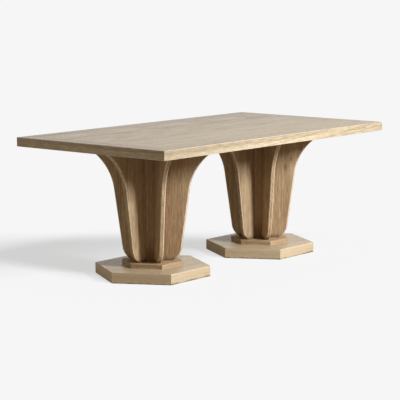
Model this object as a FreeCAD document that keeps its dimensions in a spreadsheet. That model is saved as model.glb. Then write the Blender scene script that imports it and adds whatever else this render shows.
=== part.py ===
import FreeCAD, Part
import math
import os
import types

import Sketcher

# Double pedestal dining table: a framed top on two pedestals of six flared fins each.
# Millimetres, +Z up, X along the table. The origin is on the floor under the middle of the top.

# Driving sizes
SIZES = {
    # table top
    "table_length": 1930.0,
    "table_width": 1066.0,
    "table_height": 762.0,
    "top_thickness": 50.0,
    "border_width": 88.0,
    "edge_ease": 1.5,
    "upper_panel_thickness": 20.0,
    "lower_panel_thickness": 12.0,
    "rib_width": 28.0,
    "fixing_block_width": 360.0,
    "tongue_thickness": 6.0,
    "tongue_width": 20.0,
    "spline_thickness": 6.0,
    "spline_width": 50.0,
    "spline_length": 60.0,
    # pedestals
    "pedestal_inset": 491.0,
    "fin_thickness": 24.0,
    "fin_edge_round": 6.0,
    "fin_round_share": 0.42,
    "fin_foot_reach": 78.0,
    "fin_foot_radius": 88.0,
    "fin_foot_trim": 8.0,
    "fin_lean": 7.8,
    "fin_flare_height": 239.0,
    "fin_tip_reach": 355.0,
    "fin_tip_height": 20.0,
    "core_apothem": 65.0,
    "cap_radius": 171.0,
    "cap_height": 24.0,
    # plinths
    "plinth_radius": 322.0,
    "plinth_height": 59.0,
    "plinth_panel_thickness": 20.0,
    "plinth_side_thickness": 20.0,
    "corner_block_width": 130.0,
    "corner_block_depth": 100.0,
    # mounting plate, bolts and screws
    "plate_radius": 200.0,
    "plate_thickness": 6.0,
    "plate_play": 1.0,
    "bolt_circle_radius": 150.0,
    "bolt_radius": 4.0,
    "bolt_length": 30.0,
    "bolt_hole_radius": 4.5,
    "bolt_head_radius": 7.5,
    "bolt_head_height": 5.3,
    "bolt_washer_radius": 9.0,
    "bolt_washer_thickness": 1.6,
    "insert_radius": 6.0,
    "insert_length": 25.0,
    "screw_radius": 2.5,
    "screw_head_radius": 5.0,
    "screw_length": 40.0,
    "inner_screw_reach": 100.0,
    "outer_screw_reach": 165.0,
    # tie rod
    "rod_radius": 6.0,
    "rod_hole_radius": 7.0,
    "rod_nut_radius": 10.9,
    "rod_nut_height": 10.0,
    "rod_end": 4.0,
    "nut_recess_radius": 12.0,
    "rod_washer_radius": 20.0,
    "rod_washer_thickness": 2.5,
    # dowels
    "dowel_radius": 5.0,
    "dowel_length": 50.0,
    "lower_dowel_height": 150.0,
    "upper_dowel_drop": 150.0,
    "foot_dowel_radius": 4.0,
    "foot_dowel_length": 28.0,
    "foot_dowel_reach": 80.0,
    # levelling feet
    "leveller_reach": 235.0,
    "pad_lift": 1.0,
    "pad_radius": 20.0,
    "pad_height": 8.0,
    "pad_floor": 2.0,
    "stem_radius": 5.0,
    "stem_collar_radius": 9.8,
    "stem_collar_height": 6.4,
    "stem_head_room": 3.0,
    "stem_insert_radius": 8.0,
    "stem_insert_cover": 4.0,
    # clearances
    "running_gap": 0.05,
    "joint_gap": 0.3,
    "glue_gap": 0.1,
    "end_gap": 1.0,
    "flush_gap": 0.2,
}

FIN_COUNT = 6
CORE_SIDES = 12
HEX_HEAD_SIDES = 6
MITRE_ANGLE = 45
FIN_STEP = 360 / FIN_COUNT
FIN_ANGLES = [FIN_STEP * k for k in range(FIN_COUNT)]
BOLT_ANGLES = [angle + FIN_STEP / 2 for angle in FIN_ANGLES]
LEVELLER_ANGLES = [60, 120, 240, 300]
PLAIN_CORNER_ANGLES = [0, 180]
COS_HALF_STEP = math.cos(math.radians(FIN_STEP / 2))
TAN_HALF_STEP = math.tan(math.radians(FIN_STEP / 2))
COS_HALF_FACET = math.cos(math.radians(180 / CORE_SIDES))
TOUCH = 1e-4

doc = FreeCAD.newDocument("PedestalTable")
sheet = doc.addObject("Spreadsheet::Sheet", "Sizes")
nodes = []


class Size:
    """A length with its value and the sheet expression that it is bound to."""

    def __init__(self, value, text):
        self.value = value
        self.text = text

    def join(self, sign, other):
        return f"({self.text} {sign} {as_size(other).text})"

    def __add__(self, other):
        return Size(self.value + as_size(other).value, self.join("+", other))

    def __sub__(self, other):
        return Size(self.value - as_size(other).value, self.join("-", other))

    def __mul__(self, other):
        return Size(self.value * as_size(other).value, self.join("*", other))

    def __truediv__(self, other):
        return Size(self.value / as_size(other).value, self.join("/", other))

    def __neg__(self):
        return self * -1


def as_size(number):
    if isinstance(number, Size):
        return number
    return Size(number, f"({number:.9f})")


def least(first, second):
    return Size(min(first.value, second.value), f"min({first.text}; {second.text})")


def greatest(first, second):
    return Size(max(first.value, second.value), f"max({first.text}; {second.text})")


def tangent_of(angle):
    return Size(math.tan(math.radians(angle.value)), f"tan({angle.text} * 1 deg)")


def sine_of(angle):
    return Size(math.sin(math.radians(angle.value)), f"sin({angle.text} * 1 deg)")


def cosine_of(angle):
    return Size(math.cos(math.radians(angle.value)), f"cos({angle.text} * 1 deg)")


def fill_sheet():
    for row, (name, value) in enumerate(SIZES.items(), start=1):
        sheet.set(f"A{row}", name.replace("_", " "))
        sheet.set(f"B{row}", str(value))
        sheet.setAlias(f"B{row}", name)
    doc.recompute()
    return types.SimpleNamespace(**{name: Size(value, f"Sizes.{name}") for name, value in SIZES.items()})


size = fill_sheet()

# Levels and sizes that follow from the driving sizes
underside = size.table_height - size.top_thickness
plinth_ceiling = size.plinth_height - size.plinth_panel_thickness
cap_top = size.plinth_height + size.cap_height
fin_height = underside - cap_top
plate_floor = underside - size.plate_thickness
core_height = plate_floor - cap_top
field_length = size.table_length - size.border_width * 2
field_width = size.table_width - size.border_width * 2
rib_height = size.top_thickness - size.upper_panel_thickness - size.lower_panel_thickness
plinth_apothem = size.plinth_radius * COS_HALF_STEP
collar_floor = size.pad_height + size.joint_gap
block_floor = size.pad_lift + collar_floor + size.stem_collar_height + size.joint_gap
block_height = plinth_ceiling - block_floor
# On a short table, the fins that face each other across the middle stay a fin's thickness apart.
closest_spacing = size.fin_tip_reach * 2 + size.fin_thickness
pedestal_spacing = greatest(size.table_length - size.pedestal_inset * 2, closest_spacing)
pedestal_axes = {"left": pedestal_spacing / -2, "right": pedestal_spacing / 2}


# Placing and binding

def turn_z(angle):
    return FreeCAD.Rotation(FreeCAD.Vector(0, 0, 1), angle)


def point_outward(angle):
    """Turn that lays the vertical axis along the horizontal direction at this angle."""
    direction = FreeCAD.Vector(math.cos(math.radians(angle)), math.sin(math.radians(angle)), 0)
    return FreeCAD.Rotation(FreeCAD.Vector(0, 0, 1), direction)


UPRIGHT = turn_z(0)


def bind(obj, **sizes):
    for name, value in sizes.items():
        obj.setExpression(name, as_size(value).text)
    return obj


def place(obj, x=0, y=0, z=0, turn=UPRIGHT):
    obj.Placement = FreeCAD.Placement(FreeCAD.Vector(), turn)
    for axis, value in (("x", x), ("y", y), ("z", z)):
        obj.setExpression(f"Placement.Base.{axis}", as_size(value).text)
    return obj


def around(centre_x, radius, angle):
    """Point at a radius and angle about a pedestal's axis."""
    cosine = math.cos(math.radians(angle))
    sine = math.sin(math.radians(angle))
    return radius * cosine + centre_x, radius * sine


def low_corner(length, width, x, y, angle):
    """First corner of a rectangle with its middle at x, y, turned about its own middle."""
    cosine = math.cos(math.radians(angle))
    sine = math.sin(math.radians(angle))
    corner_x = as_size(x) - length * (cosine / 2) + width * (sine / 2)
    corner_y = as_size(y) - length * (sine / 2) - width * (cosine / 2)
    return corner_x, corner_y


def node(obj, label):
    obj.Label = label
    nodes.append(obj)
    return obj


# Plain solids and booleans

def cylinder(name, radius, height, x=0, y=0, z=0, turn=UPRIGHT):
    return place(bind(doc.addObject("Part::Cylinder", name), Radius=radius, Height=height), x, y, z, turn)


def cone(name, low_radius, high_radius, height, x=0, y=0, z=0):
    solid = doc.addObject("Part::Cone", name)
    return place(bind(solid, Radius1=low_radius, Radius2=high_radius, Height=height), x, y, z)


def board(name, length, width, height, x=0, y=0, z=0, angle=0):
    """Box with its middle over x, y and its underside at z, turned about its own middle."""
    solid = bind(doc.addObject("Part::Box", name), Length=length, Width=width, Height=height)
    return place(solid, *low_corner(length, width, x, y, angle), z, turn_z(angle))


def prism(name, sides, circumradius, height, z=0, angle=0):
    solid = doc.addObject("Part::Prism", name)
    solid.Polygon = sides
    return place(bind(solid, Circumradius=circumradius, Height=height), z=z, turn=turn_z(angle))


def stacked_hexagons(name, levels):
    """Solid with flat sides through hexagons, each given by its circumradius and height."""
    sections = []
    for circumradius, height in levels:
        hexagon = doc.addObject("Part::RegularPolygon", f"{name}_section")
        hexagon.Polygon = FIN_COUNT
        sections.append(place(bind(hexagon, Circumradius=circumradius), z=height))
    solid = doc.addObject("Part::Loft", name)
    solid.Sections = sections
    solid.Solid = True
    solid.Ruled = True
    return solid


def group(name, members):
    gathered = doc.addObject("Part::Compound", name)
    gathered.Links = members
    return gathered


def cut(name, base, tools):
    result = doc.addObject("Part::Cut", name)
    result.Base = base
    result.Tool = group(f"{name}_tools", tools)
    return result


def fuse(name, members):
    result = doc.addObject("Part::MultiFuse", name)
    result.Shapes = members
    return result


def common(name, base, tool):
    result = doc.addObject("Part::Common", name)
    result.Base = base
    result.Tool = tool
    return result


def links_to(master, places):
    """The same piece at each x, y, z and turn."""
    links = []
    for x, y, z, turn in places:
        link = doc.addObject("App::Link", f"{master.Name}_copy")
        link.LinkedObject = master
        links.append(place(link, x, y, z, turn))
    return links


def copies(label, master, places):
    """One node of separate solids that are all alike."""
    return node(group(f"{label}_group", links_to(master, places)), label)


def ring(name, outer_radius, inner_radius, height):
    disc = cylinder(f"{name}_disc", outer_radius, height)
    return cut(name, disc, [cylinder(f"{name}_bore", inner_radius, height)])


# Sketched solids

def origin_plane(body, role):
    return next(feature for feature in body.Origin.OriginFeatures if feature.Role == role)


def new_body(label):
    body = doc.addObject("PartDesign::Body", f"{label}_body")
    return node(body, label)


def new_sketch(body, name, role):
    sketch = body.newObject("Sketcher::SketchObject", name)
    sketch.AttachmentSupport = [(origin_plane(body, role), "")]
    sketch.MapMode = "FlatFace"
    return sketch


def constrain(sketch, name, value, kind, *where):
    """Sketch dimension that is bound to a size."""
    index = sketch.addConstraint(Sketcher.Constraint(kind, *where, value.value))
    sketch.renameConstraint(index, name)
    sketch.setExpression(f"Constraints.{name}", value.text)


def polygon(sketch, corners):
    """Closed outline whose corners are bound to the sheet."""
    count = len(corners)
    spots = [FreeCAD.Vector(as_size(x).value, as_size(y).value, 0) for x, y in corners]
    for index in range(count):
        sketch.addGeometry(Part.LineSegment(spots[index], spots[(index + 1) % count]), False)
    for index in range(count):
        sketch.addConstraint(Sketcher.Constraint("Coincident", index, 2, (index + 1) % count, 1))
    for index, (x, y) in enumerate(corners):
        constrain(sketch, f"corner_{index}_x", as_size(x), "DistanceX", -1, 1, index, 1)
        constrain(sketch, f"corner_{index}_y", as_size(y), "DistanceY", -1, 1, index, 1)


def pad(body, sketch, length, both_ways=False):
    feature = body.newObject("PartDesign::Pad", "Thickness")
    feature.Profile = sketch
    feature.SideType = "Symmetric" if both_ways else "One side"
    bind(feature, Length=length)
    doc.recompute()
    return feature


def drill(body, radius, depth, x=0, y=0, z=0, turn=UPRIGHT):
    hole = body.newObject("PartDesign::SubtractiveCylinder", "Hole")
    return place(bind(hole, Radius=radius, Height=depth), x, y, z, turn)


def slot(body, length, width, height, x=0, y=0, z=0, angle=0):
    """Box cut with its middle over x, y and its underside at z, turned about its own middle."""
    recess = body.newObject("PartDesign::SubtractiveBox", "Slot")
    bind(recess, Length=length, Width=width, Height=height)
    return place(recess, *low_corner(length, width, x, y, angle), z, turn_z(angle))


# Table top

tongue_middle = size.table_height - size.upper_panel_thickness / 2
groove_depth = size.tongue_width / 2 + size.glue_gap
groove_height = size.tongue_thickness + size.glue_gap * 2
groove_floor = tongue_middle - groove_height / 2
spline_floor = underside + (size.top_thickness - size.spline_thickness) / 2
insert_hole_radius = size.insert_radius + size.glue_gap


def border(label, length, x, y, angle):
    """Border board with mitred ends, its outer face on the local X axis."""
    width = size.border_width
    body = new_body(label)
    sketch = new_sketch(body, "Plan", "XY_Plane")
    inner_end = length / 2 - width
    polygon(sketch, [(length / -2, 0), (length / 2, 0), (inner_end, width), (-inner_end, width)])
    blank = pad(body, sketch, size.top_thickness)
    ease = body.newObject("PartDesign::Chamfer", "EasedEdges")
    ease.Base = (blank, outer_edges(blank.Shape))
    bind(ease, Size=size.edge_ease)
    doc.recompute()
    slot(body, length, groove_depth, groove_height, y=width - groove_depth / 2, z=groove_floor - underside)
    for side in (-1, 1):
        slot(body, size.spline_length + size.glue_gap * 2, size.spline_width + size.glue_gap * 2,
             size.spline_thickness + size.glue_gap * 2, (length / 2 - width / 2) * side, width / 2,
             spline_floor - underside - size.glue_gap, angle=-MITRE_ANGLE * side)
    place(body, x, y, underside, turn_z(angle))


def outer_edges(shape):
    """The long upper and lower edges on a border board's outer face."""
    names = []
    for index, edge in enumerate(shape.Edges, start=1):
        box = edge.BoundBox
        if abs(box.YMax) < TOUCH and box.ZLength < TOUCH:
            names.append(f"Edge{index}")
    return names


def borders():
    half_length = size.table_length / 2
    half_width = size.table_width / 2
    border("long_border_front", size.table_length, 0, -half_width, 0)
    border("end_border_right", size.table_width, half_length, 0, 90)
    border("long_border_back", size.table_length, 0, half_width, 180)
    border("end_border_left", size.table_width, -half_length, 0, 270)


def upper_panel():
    blank = board("upper_panel_blank", field_length, field_width, size.upper_panel_thickness,
                  z=size.table_height - size.upper_panel_thickness)
    grooves = []
    for side in (-1, 1):
        long_y = (field_width / 2 - groove_depth / 2) * side
        end_x = (field_length / 2 - groove_depth / 2) * side
        grooves += [
            board("long_groove", field_length, groove_depth, groove_height, y=long_y, z=groove_floor),
            board("end_groove", groove_depth, field_width, groove_height, x=end_x, z=groove_floor),
        ]
    node(cut("upper_panel_grooved", blank, grooves), "top_panel")


def bolt_circle(axis):
    return [around(axis, size.bolt_circle_radius, angle) for angle in BOLT_ANGLES]


def bolt_points():
    """Bolt positions of both pedestals."""
    return bolt_circle(pedestal_axes["left"]) + bolt_circle(pedestal_axes["right"])


def lower_panel():
    depth = size.lower_panel_thickness
    blank = board("lower_panel_blank", field_length, field_width, depth, z=underside)
    holes = [cylinder("insert_hole", insert_hole_radius, depth, x, y, underside) for x, y in bolt_points()]
    node(cut("lower_panel_drilled", blank, holes), "under_panel")


def ribs_and_blocks():
    floor = underside + size.lower_panel_thickness
    half_block = size.fixing_block_width / 2
    inner_rib = (pedestal_spacing / 2 - half_block) / 2
    outer_rib = (pedestal_spacing / 2 + half_block + field_length / 2) / 2
    rib = group("rib", [board("rib_blank", size.rib_width, field_width, rib_height)])
    offsets = [0, inner_rib, -inner_rib, outer_rib, -outer_rib]
    copies("cross_ribs", rib, [(x, 0, floor, UPRIGHT) for x in offsets])
    block = board("fixing_block_blank", size.fixing_block_width, size.fixing_block_width, rib_height)
    depth = size.insert_length - size.lower_panel_thickness + size.end_gap
    holes = [cylinder("block_hole", insert_hole_radius, depth, x, y) for x, y in bolt_circle(as_size(0))]
    drilled = cut("fixing_block_drilled", block, holes)
    copies("fixing_blocks", drilled, [(axis, 0, floor, UPRIGHT) for axis in pedestal_axes.values()])


def tongues_and_splines():
    floor = tongue_middle - size.tongue_thickness / 2
    strips = []
    for side in (-1, 1):
        strips.append(board("long_tongue", field_length - size.tongue_width * 2, size.tongue_width,
                            size.tongue_thickness, y=field_width / 2 * side, z=floor))
        strips.append(board("end_tongue", size.tongue_width, field_width - size.tongue_width * 2,
                            size.tongue_thickness, x=field_length / 2 * side, z=floor))
    node(group("tongue_group", strips), "edge_tongues")
    reach_x = size.table_length / 2 - size.border_width / 2
    reach_y = size.table_width / 2 - size.border_width / 2
    splines = [board("spline", size.spline_length, size.spline_width, size.spline_thickness,
                     reach_x * side_x, reach_y * side_y, spline_floor, MITRE_ANGLE * side_x * side_y)
               for side_x in (-1, 1) for side_y in (-1, 1)]
    node(group("spline_group", splines), "corner_splines")


# Pedestal

dowel_hole_radius = size.dowel_radius + size.glue_gap
dowel_hole_depth = size.dowel_length / 2 + size.end_gap
foot_dowel_hole_radius = size.foot_dowel_radius + size.glue_gap
foot_dowel_hole_depth = size.foot_dowel_length / 2 + size.end_gap


def fin_outline(body):
    """Side view of a fin: foot arc, leaning edge, flare arc, blunt tip and the recess for the plate.

    The sole lies below the cap's top by the trim, which is sawn off after the edges are rounded.
    """
    foot_x = size.fin_foot_reach
    foot_y = size.fin_foot_radius - size.fin_foot_trim
    radius = size.fin_foot_radius
    sine = sine_of(size.fin_lean)
    cosine = cosine_of(size.fin_lean)
    sole_y = -size.fin_foot_trim
    heel = (foot_x + radius * cosine, foot_y - radius * sine)
    waist_y = fin_height - size.fin_flare_height
    waist = (heel[0] + (waist_y - heel[1]) * tangent_of(size.fin_lean), waist_y)
    tip = (size.fin_tip_reach, fin_height - size.fin_tip_height)
    across = tip[0] - waist[0]
    along = tip[1] - waist[1]
    flare = (across * across + along * along) / ((across * cosine - along * sine) * 2)
    flare_centre = (waist[0] + flare * cosine, waist[1] - flare * sine)
    recess_x = size.plate_radius + size.plate_play
    recess_y = fin_height - size.plate_thickness
    sketch = new_sketch(body, "SideView", "XZ_Plane")
    line = [
        ((size.core_apothem, sole_y), (foot_x, sole_y)),
        (heel, waist),
        (tip, (size.fin_tip_reach, fin_height)),
        ((size.fin_tip_reach, fin_height), (recess_x, fin_height)),
        ((recess_x, fin_height), (recess_x, recess_y)),
        ((recess_x, recess_y), (size.core_apothem, recess_y)),
        ((size.core_apothem, recess_y), (size.core_apothem, sole_y)),
    ]
    sole, edge, nose, head, step, ledge, back = (
        sketch.addGeometry(Part.LineSegment(spot(*start), spot(*end)), False) for start, end in line)
    foot = sketch.addGeometry(arc((foot_x, foot_y), radius, (foot_x, sole_y), heel), False)
    sweep = sketch.addGeometry(arc(flare_centre, flare, tip, waist), False)
    for first, second in ((nose, head), (head, step), (step, ledge), (ledge, back), (back, sole)):
        sketch.addConstraint(Sketcher.Constraint("Coincident", first, 2, second, 1))
    sketch.addConstraint(Sketcher.Constraint("Tangent", sole, 2, foot, 1))
    sketch.addConstraint(Sketcher.Constraint("Coincident", sweep, 1, nose, 1))
    sketch.addConstraint(Sketcher.Constraint("Tangent", foot, 2, edge, 1))
    sketch.addConstraint(Sketcher.Constraint("Tangent", edge, 2, sweep, 2))
    for level in (head, ledge):
        sketch.addConstraint(Sketcher.Constraint("Horizontal", level))
    for upright in (nose, step, back):
        sketch.addConstraint(Sketcher.Constraint("Vertical", upright))
    sketch.addConstraint(Sketcher.Constraint("Horizontal", sole))
    constrain(sketch, "back_reach", size.core_apothem, "DistanceX", -1, 1, sole, 1)
    constrain(sketch, "foot_radius", radius, "Radius", foot)
    constrain(sketch, "foot_centre_x", foot_x, "DistanceX", -1, 1, foot, 3)
    constrain(sketch, "foot_centre_y", foot_y, "DistanceY", -1, 1, foot, 3)
    constrain(sketch, "waist_reach", waist[0], "DistanceX", -1, 1, edge, 2)
    constrain(sketch, "waist_height", waist_y, "DistanceY", -1, 1, edge, 2)
    constrain(sketch, "tip_reach", size.fin_tip_reach, "DistanceX", -1, 1, nose, 2)
    constrain(sketch, "full_height", fin_height, "DistanceY", -1, 1, nose, 2)
    constrain(sketch, "tip_height", size.fin_tip_height, "DistanceY", nose, 1, nose, 2)
    constrain(sketch, "recess_reach", recess_x, "DistanceX", -1, 1, step, 1)
    constrain(sketch, "recess_depth", size.plate_thickness, "DistanceY", step, 2, step, 1)
    return sketch


def spot(x, y):
    return FreeCAD.Vector(x.value, y.value, 0)


def arc(centre, radius, start, end):
    """Arc that runs anticlockwise from start to end."""
    middle = spot(*centre)
    circle = Part.Circle(middle, FreeCAD.Vector(0, 0, 1), radius.value)
    first = spot(*start) - middle
    last = spot(*end) - middle
    return Part.ArcOfCircle(circle, math.atan2(first.y, first.x), math.atan2(last.y, last.x))


def outer_curve_edges(shape):
    """Edges on both faces of a fin along its foot arc, leaning edge and flare."""
    names = []
    for index, edge in enumerate(shape.Edges, start=1):
        box = edge.BoundBox
        on_a_face = box.YLength < TOUCH
        if on_a_face and box.XLength > TOUCH and box.ZLength > TOUCH:
            names.append(f"Edge{index}")
    return names


def fin(label, axis, angle):
    body = new_body(label)
    blank = pad(body, fin_outline(body), size.fin_thickness, both_ways=True)
    rounded = body.newObject("PartDesign::Fillet", "RoundedEdges")
    rounded.Base = (blank, outer_curve_edges(blank.Shape))
    bind(rounded, Radius=least(size.fin_edge_round, size.fin_thickness * size.fin_round_share))
    doc.recompute()
    slot(body, size.fin_tip_reach * 2, size.fin_thickness * 2, size.fin_foot_trim, z=-size.fin_foot_trim)
    for height in dowel_heights():
        drill(body, dowel_hole_radius, dowel_hole_depth, size.core_apothem, 0, height, point_outward(0))
    drill(body, foot_dowel_hole_radius, foot_dowel_hole_depth, size.foot_dowel_reach)
    pilot_depth = size.screw_length - size.plate_thickness + size.end_gap
    for reach in (size.inner_screw_reach, size.outer_screw_reach):
        drill(body, size.screw_radius + size.glue_gap, pilot_depth, reach, 0, core_height - pilot_depth)
    place(body, axis, 0, cap_top, turn_z(angle))


def dowel_heights():
    """Heights above the cap of the dowels between fins and core post."""
    return [size.lower_dowel_height, core_height - size.upper_dowel_drop]


def core_post(side, axis):
    blank = prism(f"core_blank_{side}", CORE_SIDES, size.core_apothem / COS_HALF_FACET, core_height,
                  angle=180 / CORE_SIDES)
    nut_depth = size.rod_nut_height
    holes = [
        cylinder("rod_bore", size.rod_hole_radius, core_height),
        cylinder("nut_recess", size.nut_recess_radius, nut_depth, z=core_height - nut_depth),
    ]
    for height in dowel_heights():
        for angle in FIN_ANGLES:
            x, y = around(as_size(0), size.core_apothem - dowel_hole_depth, angle)
            holes.append(cylinder("dowel_hole", dowel_hole_radius, dowel_hole_depth, x, y, height,
                                  point_outward(angle)))
    post = cut(f"core_drilled_{side}", blank, holes)
    node(place(post, axis, 0, cap_top), f"core_post_{side}")


def cap(side, axis):
    ease = size.edge_ease
    blank = stacked_hexagons(f"cap_blank_{side}", [
        (size.cap_radius, as_size(0)),
        (size.cap_radius, size.cap_height - ease),
        (size.cap_radius - ease / COS_HALF_STEP, size.cap_height),
    ])
    floor = size.cap_height - foot_dowel_hole_depth
    holes = [cylinder("cap_bore", size.rod_hole_radius, size.cap_height)]
    for angle in FIN_ANGLES:
        x, y = around(as_size(0), size.foot_dowel_reach, angle)
        holes.append(cylinder("cap_dowel_hole", foot_dowel_hole_radius, foot_dowel_hole_depth, x, y, floor))
    node(place(cut(f"cap_drilled_{side}", blank, holes), axis, 0, size.plinth_height), f"cap_{side}")


def mounting_plate(side, axis):
    blank = cylinder(f"plate_blank_{side}", size.plate_radius, size.plate_thickness)
    holes = [cylinder("plate_rod_hole", size.rod_radius + size.glue_gap, size.plate_thickness)]
    for x, y in bolt_circle(as_size(0)):
        holes.append(cylinder("plate_bolt_hole", size.bolt_hole_radius, size.plate_thickness, x, y))
    wide = size.screw_head_radius + size.flush_gap + size.glue_gap
    narrow = size.screw_radius + size.glue_gap
    for angle in FIN_ANGLES:
        for reach in (size.inner_screw_reach, size.outer_screw_reach):
            x, y = around(as_size(0), reach, angle)
            holes.append(cylinder("plate_screw_hole", narrow, size.plate_thickness, x, y))
            holes.append(cone("plate_countersink", narrow, wide, wide - narrow, x, y,
                              size.plate_thickness - wide + narrow))
    node(place(cut(f"plate_drilled_{side}", blank, holes), axis, 0, plate_floor), f"mounting_plate_{side}")


# Plinth

mitre_drop = size.edge_ease / 2 * size.plinth_panel_thickness / size.plinth_side_thickness


def plinth_panel(side, axis):
    """Hexagonal panel with bevelled edges that meet the bevelled tops of the side boards."""
    blank = stacked_hexagons(f"plinth_panel_blank_{side}", [
        ((plinth_apothem - size.plinth_side_thickness) / COS_HALF_STEP, as_size(0)),
        ((plinth_apothem - size.edge_ease / 2) / COS_HALF_STEP, size.plinth_panel_thickness - mitre_drop),
        ((plinth_apothem - size.edge_ease) / COS_HALF_STEP, size.plinth_panel_thickness),
    ])
    bore = cylinder("panel_bore", size.rod_hole_radius, size.plinth_panel_thickness)
    panel = cut(f"plinth_panel_drilled_{side}", blank, [bore])
    node(place(panel, axis, 0, plinth_ceiling), f"plinth_panel_{side}")


def side_board():
    """Side board of a plinth: its section along the local X axis, cut to a sixth of the hexagon."""
    outer = plinth_apothem
    inner = plinth_apothem - size.plinth_side_thickness
    top = size.plinth_height
    corners = [
        (inner, 0),
        (outer - size.edge_ease, 0),
        (outer, size.edge_ease),
        (outer, top - size.edge_ease),
        (outer - size.edge_ease / 2, top - mitre_drop),
        (inner, top - size.plinth_panel_thickness),
    ]
    body = doc.addObject("PartDesign::Body", "side_board_section")
    sketch = new_sketch(body, "Section", "XZ_Plane")
    polygon(sketch, corners)
    pad(body, sketch, size.plinth_radius * 2, both_ways=True)
    wedge = doc.addObject("PartDesign::Body", "side_board_sector")
    plan = new_sketch(wedge, "Sector", "XY_Plane")
    reach = size.plinth_radius
    polygon(plan, [(0, 0), (reach, -reach * TAN_HALF_STEP), (reach, reach * TAN_HALF_STEP)])
    pad(wedge, plan, size.plinth_height)
    return common("side_board", body, wedge)


def corner_block():
    """Glue block that fills a corner of the hollow plinth, with its corner on the local X axis."""
    inner_radius = (plinth_apothem - size.plinth_side_thickness) / COS_HALF_STEP
    blank = board("corner_block_blank", size.corner_block_depth, size.corner_block_width, block_height,
                  x=inner_radius - size.corner_block_depth / 2)
    return common("corner_block", blank, prism("plinth_hollow", FIN_COUNT, inner_radius, block_height))


def plinth_boards():
    """The mitred sides of both plinths and the glue blocks in their corners."""
    side_master = side_board()
    plain = corner_block()
    hole_radius = size.stem_insert_radius + size.glue_gap
    drilled = cut("corner_block_drilled", plain,
                  [cylinder("stem_insert_hole", hole_radius, block_height, size.leveller_reach)])
    blocks = []
    for side, axis in pedestal_axes.items():
        copies(f"plinth_sides_{side}", side_master,
               [(axis, 0, 0, turn_z(angle)) for angle in BOLT_ANGLES])
        for master, angles in ((plain, PLAIN_CORNER_ANGLES), (drilled, LEVELLER_ANGLES)):
            blocks += links_to(master, [(axis, 0, block_floor, turn_z(angle)) for angle in angles])
    node(group("corner_block_group", blocks), "corner_blocks")


# Fasteners

def top_bolts():
    bolt = fuse("bolt", [
        cylinder("bolt_shank", size.bolt_radius, size.bolt_length),
        prism("bolt_head", HEX_HEAD_SIDES, size.bolt_head_radius, size.bolt_head_height,
              z=-size.bolt_head_height),
    ])
    washer = ring("bolt_washer", size.bolt_washer_radius, size.bolt_hole_radius, size.bolt_washer_thickness)
    washer_floor = plate_floor - size.bolt_washer_thickness
    washer_places = [(x, y, washer_floor, UPRIGHT) for x, y in bolt_points()]
    copies("plate_bolts", bolt, washer_places)
    copies("bolt_washers", washer, washer_places)
    insert = ring("top_insert", size.insert_radius, size.bolt_radius + size.glue_gap, size.insert_length)
    copies("top_inserts", insert, [(x, y, underside, UPRIGHT) for x, y in bolt_points()])


def plate_screws():
    head_height = size.screw_head_radius - size.screw_radius
    shank_length = size.screw_length - head_height
    screw = fuse("screw", [
        cylinder("screw_shank", size.screw_radius, shank_length),
        cone("screw_head", size.screw_radius, size.screw_head_radius, head_height, z=shank_length),
    ])
    floor = underside - size.flush_gap - size.screw_length
    places = []
    for axis in pedestal_axes.values():
        for angle in FIN_ANGLES:
            for reach in (size.inner_screw_reach, size.outer_screw_reach):
                places.append((*around(axis, reach, angle), floor, UPRIGHT))
    copies("plate_screws", screw, places)


def tie_rods():
    nut_bore = size.rod_radius + size.glue_gap
    washer_floor = plinth_ceiling - size.rod_washer_thickness
    low_nut = washer_floor - size.rod_nut_height
    rod_floor = low_nut - size.rod_end
    high_nut = plate_floor - size.rod_nut_height
    rod = cylinder("rod", size.rod_radius, underside - size.flush_gap - rod_floor)
    nut = cut("rod_nut", prism("rod_nut_blank", HEX_HEAD_SIDES, size.rod_nut_radius, size.rod_nut_height),
              [cylinder("rod_nut_bore", nut_bore, size.rod_nut_height)])
    washer = ring("rod_washer", size.rod_washer_radius, size.rod_hole_radius, size.rod_washer_thickness)
    axes = pedestal_axes.values()
    copies("tie_rods", rod, [(axis, 0, rod_floor, UPRIGHT) for axis in axes])
    copies("tie_rod_nuts", nut, [(axis, 0, floor, UPRIGHT) for axis in axes for floor in (low_nut, high_nut)])
    copies("tie_rod_washers", washer, [(axis, 0, washer_floor, UPRIGHT) for axis in axes])


def dowels():
    dowel = cylinder("dowel", size.dowel_radius, size.dowel_length)
    places = []
    foot_places = []
    for axis in pedestal_axes.values():
        for angle in FIN_ANGLES:
            x, y = around(axis, size.core_apothem - size.dowel_length / 2, angle)
            places += [(x, y, cap_top + height, point_outward(angle)) for height in dowel_heights()]
            foot = around(axis, size.foot_dowel_reach, angle)
            foot_places.append((*foot, cap_top - size.foot_dowel_length / 2, UPRIGHT))
    copies("fin_dowels", dowel, places)
    foot_dowel = cylinder("foot_dowel", size.foot_dowel_radius, size.foot_dowel_length)
    copies("foot_dowels", foot_dowel, foot_places)


# Levelling feet

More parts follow.
